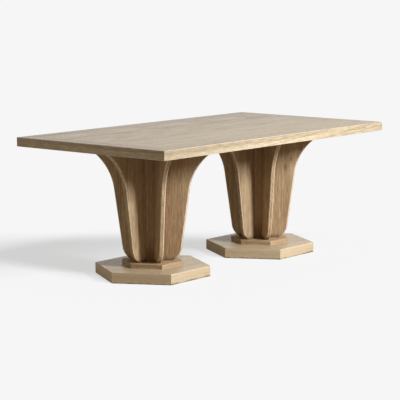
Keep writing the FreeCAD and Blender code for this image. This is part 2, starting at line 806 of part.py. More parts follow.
def levellers():
    """Pads and threaded stems one by one, because each moves on its own.

    Screwed in fully, a pad stays above the floor by its lift and the table stands on its plinths.
    """
    bore_radius = size.stem_radius + size.running_gap
    socket_depth = size.pad_height - size.pad_floor
    stem_floor = size.pad_floor + size.glue_gap
    stem_length = plinth_ceiling - size.stem_head_room - size.pad_lift - stem_floor
    insert_places = []
    for side, axis in pedestal_axes.items():
        for number, angle in enumerate(LEVELLER_ANGLES, start=1):
            x, y = around(axis, size.leveller_reach, angle)
            insert_places.append((x, y, block_floor, UPRIGHT))
            foot_pad = cut("pad_socketed", cylinder("pad_disc", size.pad_radius, size.pad_height),
                           [cylinder("pad_socket", bore_radius, socket_depth, z=size.pad_floor)])
            node(place(foot_pad, x, y, size.pad_lift), f"leveller_pad_{side}_{number}")
            stem = fuse("stem", [
                cylinder("stem_thread", size.stem_radius, stem_length, z=stem_floor),
                prism("stem_collar", HEX_HEAD_SIDES, size.stem_collar_radius, size.stem_collar_height,
                      z=collar_floor),
            ])
            node(place(stem, x, y, size.pad_lift), f"leveller_stem_{side}_{number}")
    insert_length = block_height - size.stem_insert_cover
    insert = ring("stem_insert", size.stem_insert_radius, bore_radius, insert_length)
    copies("leveller_inserts", insert, insert_places)


# Checks and files

def check_document():
    doc.recompute()
    for obj in doc.Objects:
        if "Invalid" in obj.State or "Error" in obj.State:
            raise RuntimeError(f"{obj.Label} failed: {obj.State}")
        if obj.TypeId.startswith("PartDesign::Subtractive"):
            removed = obj.BaseFeature.Shape.Volume - obj.Shape.Volume
        elif obj.TypeId == "Part::Cut":
            removed = obj.Base.Shape.Volume - obj.Shape.Volume
        else:
            continue
        if removed <= 0:
            raise RuntimeError(f"{obj.Label} removes nothing")
    for piece in nodes:
        if piece.Shape.isNull() or not piece.Shape.isValid():
            raise RuntimeError(f"{piece.Label} has no valid shape")


def write_parts():
    os.makedirs("parts", exist_ok=True)
    for piece in nodes:
        piece.Shape.exportStep(f"parts/{piece.Label}.step")
    print(len(nodes), "nodes,", sum(len(piece.Shape.Solids) for piece in nodes), "solids")


borders()
upper_panel()
lower_panel()
ribs_and_blocks()
tongues_and_splines()
for side_name, side_axis in pedestal_axes.items():
    mounting_plate(side_name, side_axis)
    core_post(side_name, side_axis)
    for fin_number, fin_angle in enumerate(FIN_ANGLES, start=1):
        fin(f"fin_{side_name}_{fin_number}", side_axis, fin_angle)
    cap(side_name, side_axis)
    plinth_panel(side_name, side_axis)
plinth_boards()
top_bolts()
plate_screws()
tie_rods()
dowels()
levellers()
check_document()
write_parts()
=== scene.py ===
import math

import bpy
from mathutils import Matrix, Vector


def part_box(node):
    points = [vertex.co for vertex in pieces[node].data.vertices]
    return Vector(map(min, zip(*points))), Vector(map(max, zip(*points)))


# Double pedestal dining table in pale oak: finishes, floor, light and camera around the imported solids.
# Metres, +Z up, X along the table.

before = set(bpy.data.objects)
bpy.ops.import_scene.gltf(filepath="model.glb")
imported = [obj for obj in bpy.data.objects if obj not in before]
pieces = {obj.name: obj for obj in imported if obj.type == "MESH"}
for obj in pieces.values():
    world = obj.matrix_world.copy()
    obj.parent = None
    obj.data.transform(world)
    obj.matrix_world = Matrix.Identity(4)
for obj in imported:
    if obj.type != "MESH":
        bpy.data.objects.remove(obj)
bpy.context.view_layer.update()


def middle_x(name):
    """Where the middle of a CAD node lies along the table."""
    low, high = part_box(name)
    return (low.x + high.x) / 2


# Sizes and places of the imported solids.
long_border_low, long_border_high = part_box("long_border_front")
end_border_low, end_border_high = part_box("end_border_left")
TABLE_LENGTH = long_border_high.x - long_border_low.x
TABLE_WIDTH = end_border_high.y - end_border_low.y
TABLE_HEIGHT = long_border_high.z
BORDER_WIDTH = long_border_high.y - long_border_low.y
PEDESTAL_X = {side: middle_x(f"cap_{side}") for side in ("left", "right")}
FINS = 6
FIN_ANGLES = {number: 360 / FINS * (number - 1) for number in range(1, FINS + 1)}
LEVELLERS = 4
# Boards side by side in the field of the top.
FIELD_PLANKS = 6
# Knots in the top of a plinth: place from the pedestal's axis and size.
PLINTH_KNOTS = {"left": (((-0.113, 0.175, 0.009), 0.022),), "right": ()}
# Knots in a fin: height, side of the board, reach from the pedestal's axis, size.
FIN_KNOTS = {"fin_right_6": ((0.505, -0.012, 0.154, 0.018), (0.553, -0.012, 0.189, 0.011))}


# Shader building

def add_node(tree, kind, **settings):
    node = tree.nodes.new(kind)
    for name, value in settings.items():
        setattr(node, name, value)
    return node


def feed(tree, target, source):
    """Link a socket, or set a plain value."""
    if isinstance(source, bpy.types.NodeSocket):
        tree.links.new(source, target)
    else:
        target.default_value = source


def calculate(tree, operation, *values):
    node = add_node(tree, "ShaderNodeMath", operation=operation)
    for target, value in zip(node.inputs, values):
        feed(tree, target, value)
    return node.outputs["Value"]


def vector_step(tree, operation, *values):
    """Vector Math node; the dot product and the length come out as numbers."""
    node = add_node(tree, "ShaderNodeVectorMath", operation=operation)
    for target, value in zip(node.inputs, values):
        feed(tree, target, value)
    single = operation in ("DOT_PRODUCT", "LENGTH")
    return node.outputs["Value" if single else "Vector"]


def split(tree, vector):
    node = add_node(tree, "ShaderNodeSeparateXYZ")
    feed(tree, node.inputs["Vector"], vector)
    return node.outputs["X"], node.outputs["Y"], node.outputs["Z"]


def gather(tree, x, y, z):
    node = add_node(tree, "ShaderNodeCombineXYZ")
    for name, value in (("X", x), ("Y", y), ("Z", z)):
        feed(tree, node.inputs[name], value)
    return node.outputs["Vector"]


def noise(tree, vector, stretch, detail=2.0, roughness=0.5):
    """Noise with its own number of blotches per metre along each axis."""
    node = add_node(tree, "ShaderNodeTexNoise", noise_dimensions="3D")
    feed(tree, node.inputs["Vector"], vector_step(tree, "MULTIPLY", vector, stretch))
    node.inputs["Scale"].default_value = 1.0
    node.inputs["Detail"].default_value = detail
    node.inputs["Roughness"].default_value = roughness
    return node


def ramp(tree, value, low, high, low_out=0.0, high_out=1.0):
    """Smooth step from one value to another."""
    node = add_node(tree, "ShaderNodeMapRange", interpolation_type="SMOOTHSTEP")
    for name, number in (("From Min", low), ("From Max", high), ("To Min", low_out), ("To Max", high_out)):
        feed(tree, node.inputs[name], number)
    feed(tree, node.inputs["Value"], value)
    return node.outputs["Result"]


def blend_colours(tree, share, first, second, kind="MIX"):
    """Mix of two colours. The node repeats its socket names for each kind of data, so they go by number."""
    node = add_node(tree, "ShaderNodeMix", data_type="RGBA", blend_type=kind)
    feed(tree, node.inputs[0], share)
    feed(tree, node.inputs[6], first)
    feed(tree, node.inputs[7], second)
    return node.outputs[2]


def blend_vectors(tree, share, first, second):
    node = add_node(tree, "ShaderNodeMix", data_type="VECTOR")
    feed(tree, node.inputs[0], share)
    feed(tree, node.inputs[4], first)
    feed(tree, node.inputs[5], second)
    return node.outputs[1]


def new_group(name, takes, gives):
    """Empty shader group with named sockets."""
    tree = bpy.data.node_groups.new(name, "ShaderNodeTree")
    for socket, kind in takes:
        tree.interface.new_socket(name=socket, in_out="INPUT", socket_type=f"NodeSocket{kind}")
    for socket, kind in gives:
        tree.interface.new_socket(name=socket, in_out="OUTPUT", socket_type=f"NodeSocket{kind}")
    return tree, tree.nodes.new("NodeGroupInput").outputs, tree.nodes.new("NodeGroupOutput").inputs


def use_group(tree, group, **values):
    node = add_node(tree, "ShaderNodeGroup", node_tree=group)
    for name, value in values.items():
        feed(tree, node.inputs[name], value)
    return node.outputs


# Finishes that several materials share

# Blotches per metre along the grain and across it.
WANDER_SCALE = (0.8, 6.0, 6.0)
STREAK_SCALE = (0.8, 70.0, 70.0)
BROAD_SCALE = (0.4, 14.0, 14.0)
FIBRE_SCALE = (9.0, 420.0, 420.0)
PORE_SCALE = (45.0, 1300.0, 1300.0)
FLECK_SCALE = (16.0, 150.0, 150.0)
NOISE_MIDDLE = (0.5, 0.5, 0.5)
# How far the rings stray from a straight line, in metres.
RING_WANDER = (0.0, 0.014, 0.014)
# Where each mark starts and is full, in its own pattern.
EARLY_RISE = (0.0, 0.12)
EARLY_FALL = (0.85, 0.25)
BLOTCH_SPAN = (0.30, 0.70)
FLECK_SPAN = (0.35, 0.65)
PORE_SPAN = (0.56, 0.68)
# Pores outside the early wood.
LATE_PORES = 0.35
# How much each mark moves the colour from deep to pale.
LATE_WOOD = 0.60
EARLY_WOOD = -0.24
STREAK_WEIGHT = 0.42
BROAD_WEIGHT = 0.34
FIBRE_WEIGHT = 0.24
MIDDLE_TONE = 0.62
PORE_WEIGHT = 0.45
PORE_SHADE = (0.42, 0.40, 0.38, 1.0)
FIBRE_RIDGE = 0.3
DEEP_ROUGHNESS = 0.52
PALE_POLISH = -0.10
PORE_ROUGHNESS = 0.15
# Shift of the figure from one board of the field to the next, and the spread of their tones.
BOARD_SHIFT = (9.0, 0.0, 0.0)
BOARD_RISE = 0.37
TONE_SPREAD = 0.20
# Distance from a board's edge at which the dark line ends and is full.
JOINT_SPAN = (0.0008, 0.0002)
# Shift of the figure from one side of a hexagon to the next, by the direction of the side.
SIDE_SHIFT = (3.1, 1.7, 0.0)
# Upright share of the normal above which a face counts as flat.
FLAT_FACE = 0.9
KNOT_WOBBLE_SCALE = (60.0, 60.0, 60.0)
KNOT_WOBBLE = (0.02, 0.01, 0.01)
KNOT_SHAPE = (0.6, 1.0, 1.0)
KNOT_RIM = (1.0, 0.25)
# A corner gets pale wear and painted highlight from where its normal leaves the flat face to where it
# reaches the edge.
OFF_FACE = (0.99, 0.88)
OFF_EDGE = (0.10, 0.40)
# Specks along the corners, and the share of the pale mark between them.
SPECK_SCALE = (80.0, 150.0, 150.0)
SPECK_SPAN = (0.38, 0.60)
UNSPECKLED_SHARE = 0.45
# Clouds and waver of the upper edge of the painted shade at a foot.
SHADE_CLOUDS = (30.0, 30.0, 12.0)
SHADE_WAVER = 0.02
GRIT_SCALE = (1.0, 1.0, 1.0)
GRIT_CLOUDS = (0.07, 0.07, 0.07)


def make_oak_figure():
    """Oak with the grain along X: growth rings about a pith, long streaks, fibres and open pores."""
    tree, takes, gives = new_group(
        "oak_figure",
        [("Vector", "Vector"), ("Pith", "Vector"), ("Slope", "Float"), ("Ring", "Float"),
         ("Pale", "Color"), ("Deep", "Color"), ("Tone", "Float"), ("Fleck", "Float")],
        [("Color", "Color"), ("Roughness", "Float"), ("Height", "Float")])
    grain = takes["Vector"]
    wander = noise(tree, grain, WANDER_SCALE, detail=3.0).outputs["Color"]
    wander = vector_step(tree, "SUBTRACT", wander, NOISE_MIDDLE)
    wander = vector_step(tree, "MULTIPLY", wander, RING_WANDER)
    wavy = vector_step(tree, "ADD", grain, wander)
    x, y, z = split(tree, vector_step(tree, "SUBTRACT", wavy, takes["Pith"]))
    depth = calculate(tree, "ADD", z, calculate(tree, "MULTIPLY", x, takes["Slope"]))
    radius = vector_step(tree, "LENGTH", gather(tree, 0.0, y, depth))
    phase = calculate(tree, "FRACT", calculate(tree, "DIVIDE", radius, takes["Ring"]))
    early = calculate(tree, "MULTIPLY", ramp(tree, phase, *EARLY_RISE), ramp(tree, phase, *EARLY_FALL))
    streak = noise(tree, grain, STREAK_SCALE, detail=3.0, roughness=0.6).outputs["Fac"]
    broad = noise(tree, grain, BROAD_SCALE).outputs["Fac"]
    fibre = noise(tree, grain, FIBRE_SCALE).outputs["Fac"]
    fleck = noise(tree, grain, FLECK_SCALE).outputs["Fac"]
    pore = noise(tree, grain, PORE_SCALE, detail=1.0).outputs["Fac"]
    pores_here = calculate(tree, "ADD", LATE_PORES, early)
    pore = calculate(tree, "MULTIPLY", ramp(tree, pore, *PORE_SPAN), pores_here)
    value = calculate(tree, "MULTIPLY_ADD", early, EARLY_WOOD, LATE_WOOD)
    value = calculate(tree, "MULTIPLY_ADD", ramp(tree, streak, *BLOTCH_SPAN), STREAK_WEIGHT, value)
    value = calculate(tree, "MULTIPLY_ADD", ramp(tree, broad, *BLOTCH_SPAN), BROAD_WEIGHT, value)
    value = calculate(tree, "MULTIPLY_ADD", fibre, FIBRE_WEIGHT, value)
    specks = ramp(tree, fleck, *FLECK_SPAN, -0.5, 0.5)
    value = calculate(tree, "MULTIPLY_ADD", specks, takes["Fleck"], value)
    value = calculate(tree, "ADD", calculate(tree, "SUBTRACT", value, MIDDLE_TONE), takes["Tone"])
    share = add_node(tree, "ShaderNodeClamp")
    feed(tree, share.inputs["Value"], value)
    share = share.outputs["Result"]
    colour = blend_colours(tree, share, takes["Deep"], takes["Pale"])
    dark_pore = blend_colours(tree, 1.0, takes["Deep"], PORE_SHADE, "MULTIPLY")
    pore_share = calculate(tree, "MULTIPLY", pore, PORE_WEIGHT)
    feed(tree, gives["Color"], blend_colours(tree, pore_share, colour, dark_pore))
    rough = calculate(tree, "MULTIPLY_ADD", share, PALE_POLISH, DEEP_ROUGHNESS)
    feed(tree, gives["Roughness"], calculate(tree, "MULTIPLY_ADD", pore, PORE_ROUGHNESS, rough))
    ridge = calculate(tree, "MULTIPLY", fibre, FIBRE_RIDGE)
    feed(tree, gives["Height"], calculate(tree, "SUBTRACT", ridge, pore))
    return tree


def make_plank_joints():
    """Boards side by side across Y: every board has its own piece of the figure and its own tone."""
    tree, takes, gives = new_group(
        "plank_joints", [("Vector", "Vector"), ("Width", "Float")],
        [("Vector", "Vector"), ("Tone", "Float"), ("Joint", "Float")])
    x, y, z = split(tree, takes["Vector"])
    count = calculate(tree, "DIVIDE", y, takes["Width"])
    index = calculate(tree, "FLOOR", count)
    chance = add_node(tree, "ShaderNodeTexWhiteNoise", noise_dimensions="1D")
    feed(tree, chance.inputs["W"], index)
    shift = vector_step(tree, "MULTIPLY", chance.outputs["Color"], BOARD_SHIFT)
    within = calculate(tree, "SUBTRACT", calculate(tree, "FRACT", count), 0.5)
    within = calculate(tree, "MULTIPLY", within, takes["Width"])
    board = gather(tree, x, within, calculate(tree, "MULTIPLY_ADD", index, BOARD_RISE, z))
    feed(tree, gives["Vector"], vector_step(tree, "ADD", board, shift))
    tone = calculate(tree, "MULTIPLY_ADD", chance.outputs["Value"], TONE_SPREAD, TONE_SPREAD / -2)
    feed(tree, gives["Tone"], tone)
    from_middle = calculate(tree, "ABSOLUTE", within)
    edge = calculate(tree, "SUBTRACT", calculate(tree, "MULTIPLY", takes["Width"], 0.5), from_middle)
    feed(tree, gives["Joint"], ramp(tree, edge, *JOINT_SPAN))
    return tree


def make_hexagon_boards():
    """Grain that runs level along each upright side of a hexagon, and along X on its flat faces."""
    tree, takes, gives = new_group(
        "hexagon_boards", [("Vector", "Vector"), ("Normal", "Vector")], [("Vector", "Vector")])
    along = vector_step(tree, "CROSS_PRODUCT", (0.0, 0.0, 1.0), takes["Normal"])
    along = vector_step(tree, "NORMALIZE", along)
    x, y, z = split(tree, takes["Vector"])
    normal_x, normal_y, normal_z = split(tree, takes["Normal"])
    run = vector_step(tree, "DOT_PRODUCT", takes["Vector"], along)
    face = vector_step(tree, "DOT_PRODUCT", takes["Normal"], SIDE_SHIFT)
    side = gather(tree, calculate(tree, "ADD", run, face), z, face)
    flat = calculate(tree, "GREATER_THAN", calculate(tree, "ABSOLUTE", normal_z), FLAT_FACE)
    feed(tree, gives["Vector"], blend_vectors(tree, flat, side, takes["Vector"]))
    return tree


def make_knot_mark():
    """Oval knot with a soft rim, lying along the grain."""
    tree, takes, gives = new_group(
        "knot_mark", [("Vector", "Vector"), ("Centre", "Vector"), ("Size", "Float")], [("Mask", "Float")])
    wobble = noise(tree, takes["Vector"], KNOT_WOBBLE_SCALE).outputs["Color"]
    wobble = vector_step(tree, "SUBTRACT", wobble, NOISE_MIDDLE)
    wobble = vector_step(tree, "MULTIPLY", wobble, KNOT_WOBBLE)
    wavy = vector_step(tree, "ADD", takes["Vector"], wobble)
    offset = vector_step(tree, "SUBTRACT", wavy, takes["Centre"])
    offset = vector_step(tree, "MULTIPLY", offset, KNOT_SHAPE)
    away = calculate(tree, "DIVIDE", vector_step(tree, "LENGTH", offset), takes["Size"])
    feed(tree, gives["Mask"], ramp(tree, away, *KNOT_RIM))
    return tree


def make_wear_highlight_edge():
    """The rounded corners between a board's flat faces and its edge: pale wear in specks, and painted
    highlight.
    """
    tree, takes, gives = new_group(
        "wear_highlight_edge", [("Vector", "Vector"), ("Normal", "Vector"), ("Face", "Vector")],
        [("Mask", "Float")])
    facing = calculate(tree, "ABSOLUTE", vector_step(tree, "DOT_PRODUCT", takes["Normal"], takes["Face"]))
    specks = noise(tree, takes["Vector"], SPECK_SCALE).outputs["Fac"]
    off_face = ramp(tree, facing, *OFF_FACE)
    off_edge = ramp(tree, facing, *OFF_EDGE)
    speckled = ramp(tree, specks, *SPECK_SPAN, UNSPECKLED_SHARE, 1.0)
    corner = calculate(tree, "MULTIPLY", off_face, off_edge)
    feed(tree, gives["Mask"], calculate(tree, "MULTIPLY", corner, speckled))
    return tree


def make_painted_foot_shade():
    """Painted shade that darkens an upright piece towards its foot, where it meets what it stands on."""
    tree, takes, gives = new_group(
        "painted_foot_shade", [("Vector", "Vector"), ("Low", "Float"), ("High", "Float"), ("Stain", "Float")],
        [("Mask", "Float")])
    x, y, z = split(tree, takes["Vector"])
    cloud = noise(tree, takes["Vector"], SHADE_CLOUDS).outputs["Fac"]
    waver = calculate(tree, "MULTIPLY_ADD", cloud, SHADE_WAVER, SHADE_WAVER / -2)
    height = calculate(tree, "ADD", z, waver)
    low_down = ramp(tree, height, takes["High"], takes["Low"])
    feed(tree, gives["Mask"], calculate(tree, "MULTIPLY", low_down, takes["Stain"]))
    return tree


def make_mottle():
    """Fine unevenness of a metal or plastic skin."""
    tree, takes, gives = new_group(
        "mottle", [("Vector", "Vector"), ("Scale", "Float"), ("Colour", "Color"), ("Spread", "Float")],
        [("Color", "Color"), ("Grit", "Float")])
    scaled = vector_step(tree, "SCALE", takes["Vector"])
    feed(tree, scaled.node.inputs["Scale"], takes["Scale"])
    grit = noise(tree, scaled, GRIT_SCALE, detail=4.0, roughness=0.6).outputs["Fac"]
    cloud = noise(tree, scaled, GRIT_CLOUDS).outputs["Fac"]
    lift = calculate(tree, "MULTIPLY", calculate(tree, "ADD", grit, cloud), 0.5)
    lift = calculate(tree, "MULTIPLY", calculate(tree, "SUBTRACT", lift, 0.5), takes["Spread"])
    factor = calculate(tree, "ADD", lift, 1.0)
    grey = gather(tree, factor, factor, factor)
    feed(tree, gives["Color"], blend_colours(tree, 1.0, takes["Colour"], grey, "MULTIPLY"))
    feed(tree, gives["Grit"], grit)
    return tree


oak_figure = make_oak_figure()
plank_joints = make_plank_joints()
hexagon_boards = make_hexagon_boards()
knot_mark = make_knot_mark()
wear_highlight_edge = make_wear_highlight_edge()
painted_foot_shade = make_painted_foot_shade()
mottle = make_mottle()


# Wood

PALE_OAK = (0.585, 0.440, 0.265, 1.0)
DEEP_OAK = (0.420, 0.300, 0.170, 1.0)
PALE_BORDER_OAK = (0.550, 0.420, 0.261, 1.0)
DEEP_BORDER_OAK = (0.300, 0.210, 0.118, 1.0)
PALE_FIN_OAK = (0.606, 0.420, 0.232, 1.0)
DEEP_FIN_OAK = (0.329, 0.202, 0.103, 1.0)
PALE_CAP_OAK = (0.600, 0.412, 0.228, 1.0)
DEEP_CAP_OAK = (0.270, 0.164, 0.080, 1.0)
# Pale colour on the rounded corners of fins and border boards: partly wear, partly painted highlight.
WEAR_HIGHLIGHT_OAK = (0.800, 0.610, 0.410, 1.0)
PALE_PLINTH_OAK = (0.635, 0.475, 0.294, 1.0)
DEEP_PLINTH_OAK = (0.414, 0.284, 0.157, 1.0)
PALE_SIDE_OAK = (0.680, 0.512, 0.317, 1.0)
DEEP_SIDE_OAK = (0.455, 0.313, 0.174, 1.0)
# Painted shade: the dark brown laid over the wood at the foot of the fins, the core post and the plinth's
# sides.
PAINTED_SHADE_BROWN = (0.100, 0.052, 0.022, 1.0)
LINE_BROWN = (0.300, 0.210, 0.125, 1.0)
# Gloss is the index of refraction of the finish; polish is taken off the roughness.
PLAIN_GLOSS = 1.25
TOP_POLISH = 0.20
TOP_GLOSS = 1.20
FIN_GLOSS = 1.22
SIDE_GLOSS = 1.10
GRAIN_BUMP = 0.25
GRAIN_DEPTH = 0.0006
KNOT_STRENGTH = 0.5
# Strength of the pale wear and painted highlight on the corners.
WEAR_HIGHLIGHT_STRENGTH = 0.85
# Strength of each kind of ray fleck.
FAINT_FLECK = 0.15
PANEL_FLECK = 0.2
STRONG_FLECK = 0.4
# Dark lines of the field: between its boards, and round its rim up to this far from the border.
JOINT_LINE = 0.35
RIM_LINE = 0.55
RIM_INNER = 0.007
RIM_OUTER = 0.004
# Low level, high level and strength of the painted shade at the foot of a piece.
FIN_FOOT_SHADE = (0.083, 0.110, 0.75)
CORE_FOOT_SHADE = (0.09, 0.24, 0.7)
PLINTH_FOOT_SHADE = (0.0, 0.009, 0.75)
PALE_BEECH = (0.60, 0.46, 0.31, 1.0)
DEEP_BEECH = (0.47, 0.33, 0.20, 1.0)
KNOT_BROWN = (0.085, 0.045, 0.022, 1.0)
LEVEL = (0.0, 0.0, 0.0)
ACROSS = (0.0, 0.0, 90.0)
UPRIGHT = (0.0, -90.0, 0.0)
CORE_TURN = (0.0, -90.0, 15.0)
# Painted shade: the core post, deep between the fins, is darker all over.
CORE_SHADE_TONE = -0.3
# Heights at which the figure of the cap, the plinth's panel, its sides and the core post is centred.
CAP_LEVEL = 0.07
PANEL_LEVEL = 0.05
SIDE_LEVEL = 0.03
CORE_LEVEL = 3.0
# Depth below the table's surface at which the figure of a border board is centred.
BORDER_DEPTH = 0.02
FRONT_BORDER_DEPTH = 0.025
# Steps along the log from fin to fin and from pedestal to pedestal, so that no two fins look the same.
FIN_LOG_STEP = 1.37
PEDESTAL_LOG_STEP = 11.0


def new_material(name):
    material = bpy.data.materials.new(name)
    material.use_nodes = True
    tree = material.node_tree
    return material, tree, tree.nodes["Principled BSDF"]


def grain_vector(tree, centre, turn):
    """Object coordinates with X turned along the grain and zero at the given centre."""
    place = add_node(tree, "ShaderNodeTexCoord").outputs["Object"]
    mapping = add_node(tree, "ShaderNodeMapping", vector_type="TEXTURE")
    mapping.inputs["Location"].default_value = centre
    mapping.inputs["Rotation"].default_value = [math.radians(angle) for angle in turn]
    feed(tree, mapping.inputs["Vector"], place)
    return mapping.outputs["Vector"]


def finish_wood(tree, shader, colour, figure, polish=0.0, gloss=PLAIN_GLOSS):
    feed(tree, shader.inputs["Base Color"], colour)
    feed(tree, shader.inputs["Roughness"], calculate(tree, "SUBTRACT", figure["Roughness"], polish))
    shader.inputs["IOR"].default_value = gloss
    bump = add_node(tree, "ShaderNodeBump")
    bump.inputs["Strength"].default_value = GRAIN_BUMP
    bump.inputs["Distance"].default_value = GRAIN_DEPTH
    feed(tree, bump.inputs["Height"], figure["Height"])
    feed(tree, shader.inputs["Normal"], bump.outputs["Normal"])


def with_foot_shade(tree, place, colour, painted_shade):
    """The colour with painted shade towards the foot, where there is one."""
    if painted_shade is None:
        return colour
    low, high, strength = painted_shade
    marks = use_group(tree, painted_foot_shade, Vector=place, Low=low, High=high, Stain=strength)
    return blend_colours(tree, marks["Mask"], colour, PAINTED_SHADE_BROWN)


def oak(name, centre=LEVEL, turn=LEVEL, pith=(0.0, 0.02, -0.07), slope=0.03, ring=0.0045, tone=0.0,
        pale=PALE_OAK, deep=DEEP_OAK, fleck=FAINT_FLECK, knots=(), face=None, painted_shade=None, polish=0.0,
        gloss=PLAIN_GLOSS):
    """Solid or veneered oak.

    A knot is given by its place along the grain and its size, pale wear with painted highlight on the
    corners by the direction of the flat face, and painted shade towards the foot by its low and high level
    and its strength.
    """
    material, tree, shader = new_material(name)
    coordinates = add_node(tree, "ShaderNodeTexCoord").outputs
    grain = grain_vector(tree, centre, turn)
    figure = use_group(tree, oak_figure, Vector=grain, Pith=pith, Slope=slope, Ring=ring, Pale=pale,
                       Deep=deep, Tone=tone, Fleck=fleck)
    colour = figure["Color"]
    for place, size in knots:
        mark = use_group(tree, knot_mark, Vector=grain, Centre=place, Size=size)
        share = calculate(tree, "MULTIPLY", mark["Mask"], KNOT_STRENGTH)
        colour = blend_colours(tree, share, colour, KNOT_BROWN)
    # Pale wear and painted highlight on the rounded corners.
    if face:
        wear_highlight = use_group(tree, wear_highlight_edge, Vector=grain, Normal=coordinates["Normal"], Face=face)
        share = calculate(tree, "MULTIPLY", wear_highlight["Mask"], WEAR_HIGHLIGHT_STRENGTH)
        colour = blend_colours(tree, share, colour, WEAR_HIGHLIGHT_OAK)
    colour = with_foot_shade(tree, coordinates["Object"], colour, painted_shade)
    finish_wood(tree, shader, colour, figure, polish, gloss)
    return material


def field_oak():
    """The field of the top: boards along the table, glued edge to edge."""
    material, tree, shader = new_material("oak_field_boards")
    grain = grain_vector(tree, LEVEL, LEVEL)
    width = (TABLE_WIDTH - 2 * BORDER_WIDTH) / FIELD_PLANKS
    planks = use_group(tree, plank_joints, Vector=grain, Width=width)
    figure = use_group(tree, oak_figure, Vector=planks["Vector"], Pith=(0.0, 0.01, -0.05), Slope=0.012,
                       Ring=0.005, Pale=PALE_OAK, Deep=DEEP_OAK, Tone=planks["Tone"], Fleck=FAINT_FLECK)
    x, y, z = split(tree, grain)
    from_end = calculate(tree, "SUBTRACT", TABLE_LENGTH / 2 - BORDER_WIDTH, calculate(tree, "ABSOLUTE", x))
    from_side = calculate(tree, "SUBTRACT", TABLE_WIDTH / 2 - BORDER_WIDTH, calculate(tree, "ABSOLUTE", y))
    rim = ramp(tree, calculate(tree, "MINIMUM", from_end, from_side), RIM_INNER, RIM_OUTER)
    line = calculate(tree, "MAXIMUM", calculate(tree, "MULTIPLY", planks["Joint"], JOINT_LINE),
                     calculate(tree, "MULTIPLY", rim, RIM_LINE))
    colour = blend_colours(tree, line, figure["Color"], LINE_BROWN)
    finish_wood(tree, shader, colour, figure, TOP_POLISH, TOP_GLOSS)
    return material


def hexagon_oak(name, centre, pith, pale, deep, gloss, painted_shade=None):
    """Oak boards round a hexagon, with level grain on each side."""
    material, tree, shader = new_material(name)
    coordinates = add_node(tree, "ShaderNodeTexCoord").outputs
    grain = grain_vector(tree, centre, LEVEL)
    boards = use_group(tree, hexagon_boards, Vector=grain, Normal=coordinates["Normal"])["Vector"]
    figure = use_group(tree, oak_figure, Vector=boards, Pith=pith, Slope=0.0, Ring=0.006, Pale=pale,
                       Deep=deep, Tone=0.0, Fleck=FAINT_FLECK)
    colour = with_foot_shade(tree, coordinates["Object"], figure["Color"], painted_shade)
    finish_wood(tree, shader, colour, figure, gloss=gloss)
    return material


# Metal and plastic

BLACK_COAT = (0.030, 0.030, 0.031, 1.0)
ZINC_GREY = (0.62, 0.62, 0.60, 1.0)
BRASS_YELLOW = (0.72, 0.55, 0.29, 1.0)
NYLON_BLACK = (0.035, 0.035, 0.036, 1.0)
SKIN_BUMP = 0.2
GRIT_SPAN = (0.3, 0.7)


def skin(name, colour, scale, spread, metallic, smooth, coarse, bump_height):
    """Metal or plastic with a slightly uneven colour, gloss and surface."""
    material, tree, shader = new_material(name)
    place = add_node(tree, "ShaderNodeTexCoord").outputs["Object"]
    marks = use_group(tree, mottle, Vector=place, Scale=scale, Colour=colour, Spread=spread)
    feed(tree, shader.inputs["Base Color"], marks["Color"])
    shader.inputs["Metallic"].default_value = metallic
    feed(tree, shader.inputs["Roughness"], ramp(tree, marks["Grit"], *GRIT_SPAN, smooth, coarse))
    bump = add_node(tree, "ShaderNodeBump")
    bump.inputs["Strength"].default_value = SKIN_BUMP
    bump.inputs["Distance"].default_value = bump_height
    feed(tree, bump.inputs["Height"], marks["Grit"])
    feed(tree, shader.inputs["Normal"], bump.outputs["Normal"])
    return material


def dress(name, material):
    """Put a material in every slot of a CAD node."""
    for slot in pieces[name].material_slots:
        slot.material = material


def dress_top():
    """Oak field and border boards, polished alike."""
    half_length = TABLE_LENGTH / 2
    half_width = TABLE_WIDTH / 2
    level = TABLE_HEIGHT - BORDER_DEPTH
    front_level = TABLE_HEIGHT - FRONT_BORDER_DEPTH
    # The face gives the border boards' top corners pale wear and painted highlight.
    sheen = {"pale": PALE_BORDER_OAK, "deep": DEEP_BORDER_OAK, "fleck": STRONG_FLECK,
             "face": (0.0, 0.0, 1.0), "polish": TOP_POLISH, "gloss": TOP_GLOSS}
    # Start and turn of each border board's figure, and how the board was cut from its log.
    boards = {
        "long_border_front": {"centre": (0.3, -half_width, front_level), "turn": LEVEL,
                              "pith": (0.0, 0.055, -0.01), "slope": -0.08, "ring": 0.008},
        "long_border_back": {"centre": (-0.6, half_width, level), "turn": LEVEL,
                             "pith": (0.0, -0.05, -0.03), "slope": -0.02},
        "end_border_left": {"centre": (-half_length, 0.2, level), "turn": ACROSS,
                            "pith": (0.0, -0.05, -0.03), "slope": 0.02},
        "end_border_right": {"centre": (half_length, -0.4, level), "turn": ACROSS,
                             "pith": (0.0, 0.05, -0.03), "slope": 0.02},
    }
    dress("top_panel", field_oak())
    for name, cut in boards.items():
        dress(name, oak(f"oak_{name}", **cut, **sheen))


FIN_TONE = {"pale": PALE_FIN_OAK, "deep": DEEP_FIN_OAK, "fleck": STRONG_FLECK, "gloss": FIN_GLOSS}


def dress_fins(side, axis):
    """Upright oak, each fin from its own place in the log."""
    for number, angle in FIN_ANGLES.items():
        name = f"fin_{side}_{number}"
        log_place = number * FIN_LOG_STEP + axis * PEDESTAL_LOG_STEP
        face = (-math.sin(math.radians(angle)), math.cos(math.radians(angle)), 0.0)
        knots = [((height + log_place, across, -reach), size)
                 for height, across, reach, size in FIN_KNOTS.get(name, ())]
        # Each fin is darkened towards its foot on the cap with painted shade, and its corners get pale wear
        # and painted highlight.
        wood = oak(f"oak_{name}", (axis, 0.0, -log_place), (0.0, -90.0, angle), pith=(0.0, 0.05, -0.2),
                   slope=0.02, knots=knots, face=face, painted_shade=FIN_FOOT_SHADE, **FIN_TONE)
        dress(name, wood)


